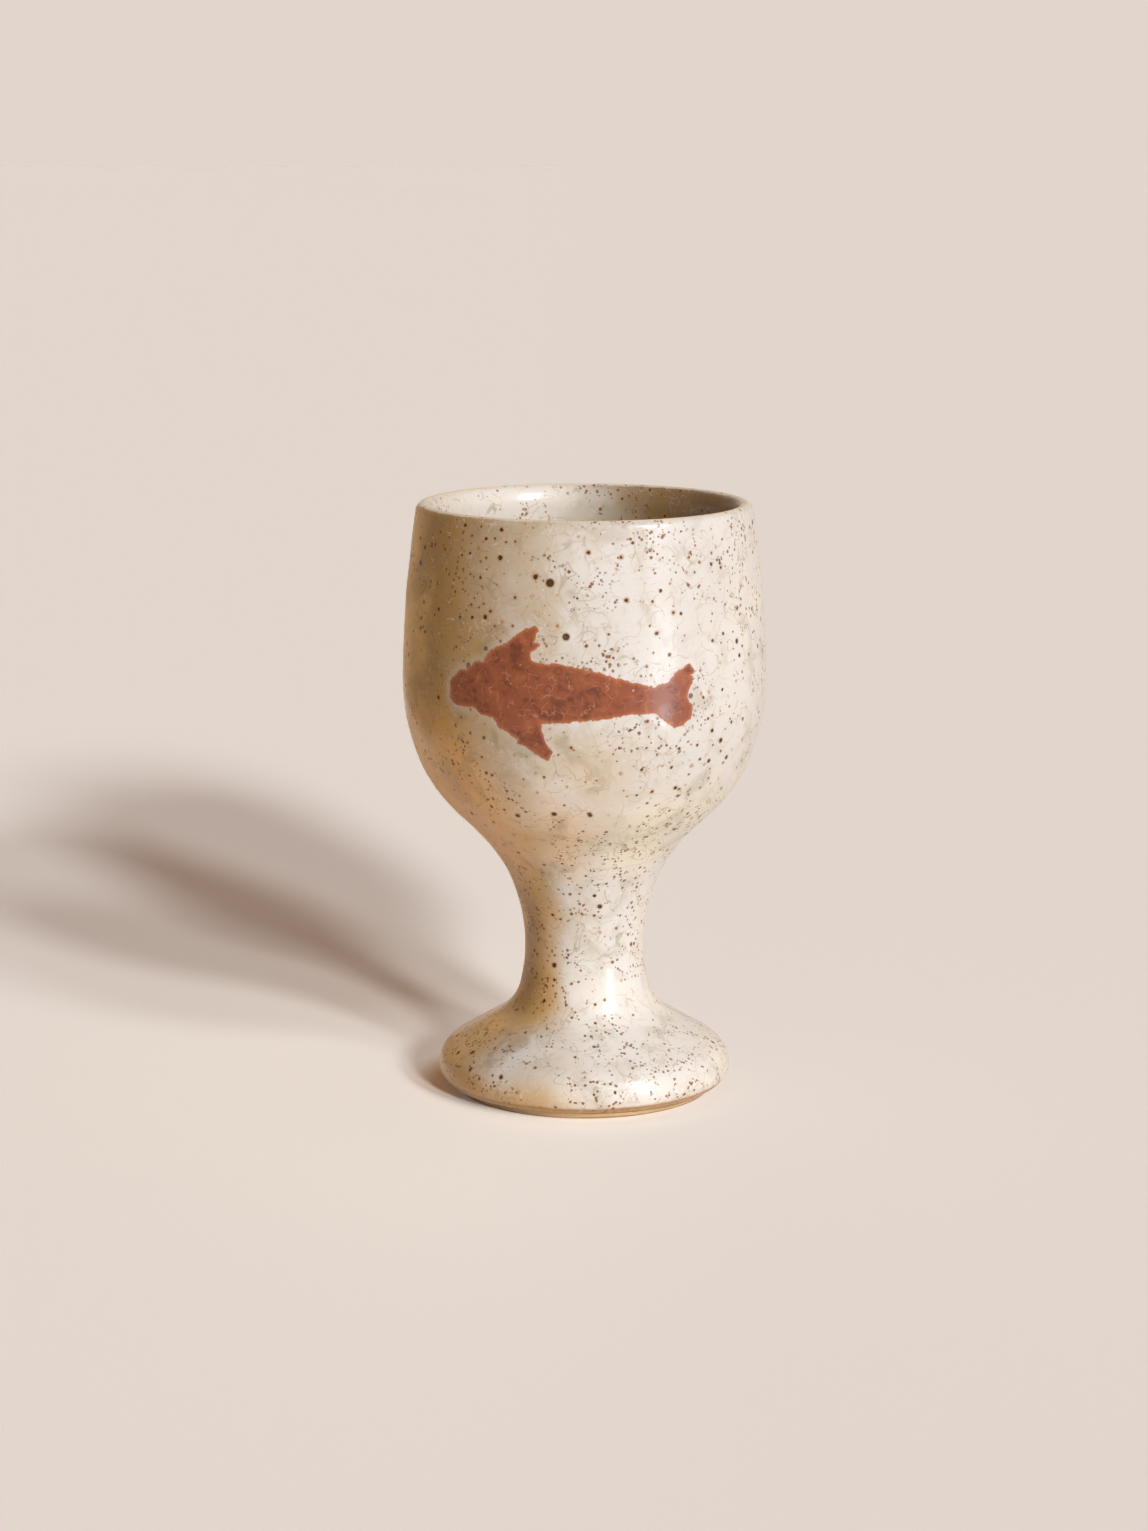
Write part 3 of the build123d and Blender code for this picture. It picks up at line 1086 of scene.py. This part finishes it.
world = bpy.context.scene.world or bpy.data.worlds.new("room")
bpy.context.scene.world = world
world.use_nodes = True
world.node_tree.nodes.clear()
start = Socket(world.node_tree)
direction = start.node("TexCoord", output="Generated")
rightwards = fade(parts(direction)[0], -0.9, 0.9)
dim, bright = [(*(room * much for room in ROOM), 1) for much in (FILL_LEFT, FILL_RIGHT)]
fill = start.node("Background", {}, {"Color": paint(dim, bright, rightwards)})
pale_walls = start.node("Background", {}, {"Color": PALE, "Strength": 1.0})
room = start.node("MixShader", {}, {0: seen(start), 1: fill, 2: pale_walls})
room.node("OutputWorld", {}, {"Surface": room})
print("fill from the left and from the right:", dim[:3], bright[:3])

# %% [markdown]
# The lamps are suns, so only the way each one faces matters. The shine on the glaze leaves them
# out, because a sun's reflection is a hard round dot.

# %% Hang the lamps
for name, (aside, up, power, soft) in LAMPS.items():
    flat = cos(radians(up))
    towards = (sin(radians(aside)) * flat, -cos(radians(aside)) * flat, sin(radians(up)))
    turned = Vector(towards).to_track_quat("Z", "Y").to_euler()
    bpy.ops.object.light_add(type="SUN", rotation=turned)
    lamp = bpy.context.object
    lamp.name = name
    lamp.data.energy = power * pi
    lamp.data.angle = radians(soft)
    lamp.visible_glossy = False
print("lamps:", list(LAMPS))

# %% [markdown]
# A warm lamp behind the goblet, level with the table, draws the thin golden line down its left
# edge and lights the back. It casts no shadow, which would otherwise fall towards the camera.

# %% Light the edge
EDGE_FROM = (-0.57, 0.82, 0)
EDGE_COLOUR = (1.0, 0.82, 0.6)
EDGE_POWER = 0.45
EDGE_SOFT = radians(6)

from_behind = Vector(EDGE_FROM).to_track_quat("Z", "Y").to_euler()
bpy.ops.object.light_add(type="SUN", rotation=from_behind)
edge_lamp = bpy.context.object
edge_lamp.name = "edge_lamp"
edge_lamp.data.color = EDGE_COLOUR
edge_lamp.data.energy = EDGE_POWER * pi
edge_lamp.data.angle = EDGE_SOFT
edge_lamp.data.use_shadow = False
edge_lamp.visible_glossy = False
print("edge lamp from", tuple(round(turn, 2) for turn in from_behind))

# %% [markdown]
# A brown card stands close on the left, out of the picture. Only the shine on the glaze shows
# it, which keeps the shaded side warm and deep instead of veiled by the pale room.

# %% Stand the card
CARD_AWAY = 0.25
CARD_BEHIND = 0.2
CARD_LONG = 1.4
CARD_TALL = 0.4
CARD_BROWN = (0.45, 0.35, 0.25, 1)

bpy.ops.mesh.primitive_plane_add(
    size=1, location=(-CARD_AWAY, CARD_BEHIND, CARD_TALL / 2), rotation=(0, pi / 2, 0)
)
card = bpy.context.object
card.name = "brown_card"
card.scale = (CARD_TALL, CARD_LONG, 1)
material, start = new_material("brown_card")
brown = start.node("Emission", {}, {"Color": CARD_BROWN, "Strength": 1.0})
brown.node("OutputMaterial", {}, {"Surface": brown})
card.data.materials.append(material)
card.visible_camera = card.visible_diffuse = card.visible_shadow = False
print("card", CARD_LONG, "m long stands", CARD_AWAY, "m to the left")

# %% [markdown]
# The shine on the glaze comes from strips further round to the right, which light nothing else:
# a dim one near the table with a small bright core for the long streak down the bowl and the
# stem, and one higher up for the glints on the lip and the foot. Each has five numbers: how far
# away it hangs and how high, its width and height, and its brightness.

# %% Add the strips for the shine
STRIP_ASIDE = radians(47)
STRIPS_FACE = 0.07
STRIP_COLOUR = (0.9, 1.0, 1.1)
STRIPS = {
    "low_strip": (0.36, 0.07, 0.09, 0.14, 4.3),
    "core_strip": (0.3, 0.03, 0.035, 0.055, 10.0),
    "high_strip": (0.42, 0.33, 0.12, 0.2, 20.0),
}
for name, (away, height, width, tall, brightness) in STRIPS.items():
    spot = Vector((sin(STRIP_ASIDE) * away, -cos(STRIP_ASIDE) * away, height))
    facing = Vector((spot.x, spot.y, height - STRIPS_FACE)).to_track_quat("Z", "Y").to_euler()
    bpy.ops.object.light_add(type="AREA", location=spot, rotation=facing)
    strip = bpy.context.object
    strip.name = name
    strip.data.shape = "RECTANGLE"
    strip.data.color = STRIP_COLOUR
    strip.data.size = width
    strip.data.size_y = tall
    strip.data.energy = brightness * pi * width * tall
    strip.visible_diffuse = False
    strip.visible_camera = False
print("strips:", list(STRIPS))

# %% [markdown]
# ## Standing for the model's nodes
#
# Each turned piece takes the place of the node that it dresses, and rides on the one body of
# the goblet.

# %% Ride and replace
dressed = [
    (outer_glaze, "glaze_outside", "oatmeal_glaze"),
    (liner_glaze, "glaze_inside", "liner_glaze"),
    (brushed_fish, "fish_decoration", "iron_pigment"),
    (turned_foot, "stem_foot", "stoneware_clay"),
]
for piece, node, slot in dressed:
    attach(piece, "root")
    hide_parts(node)
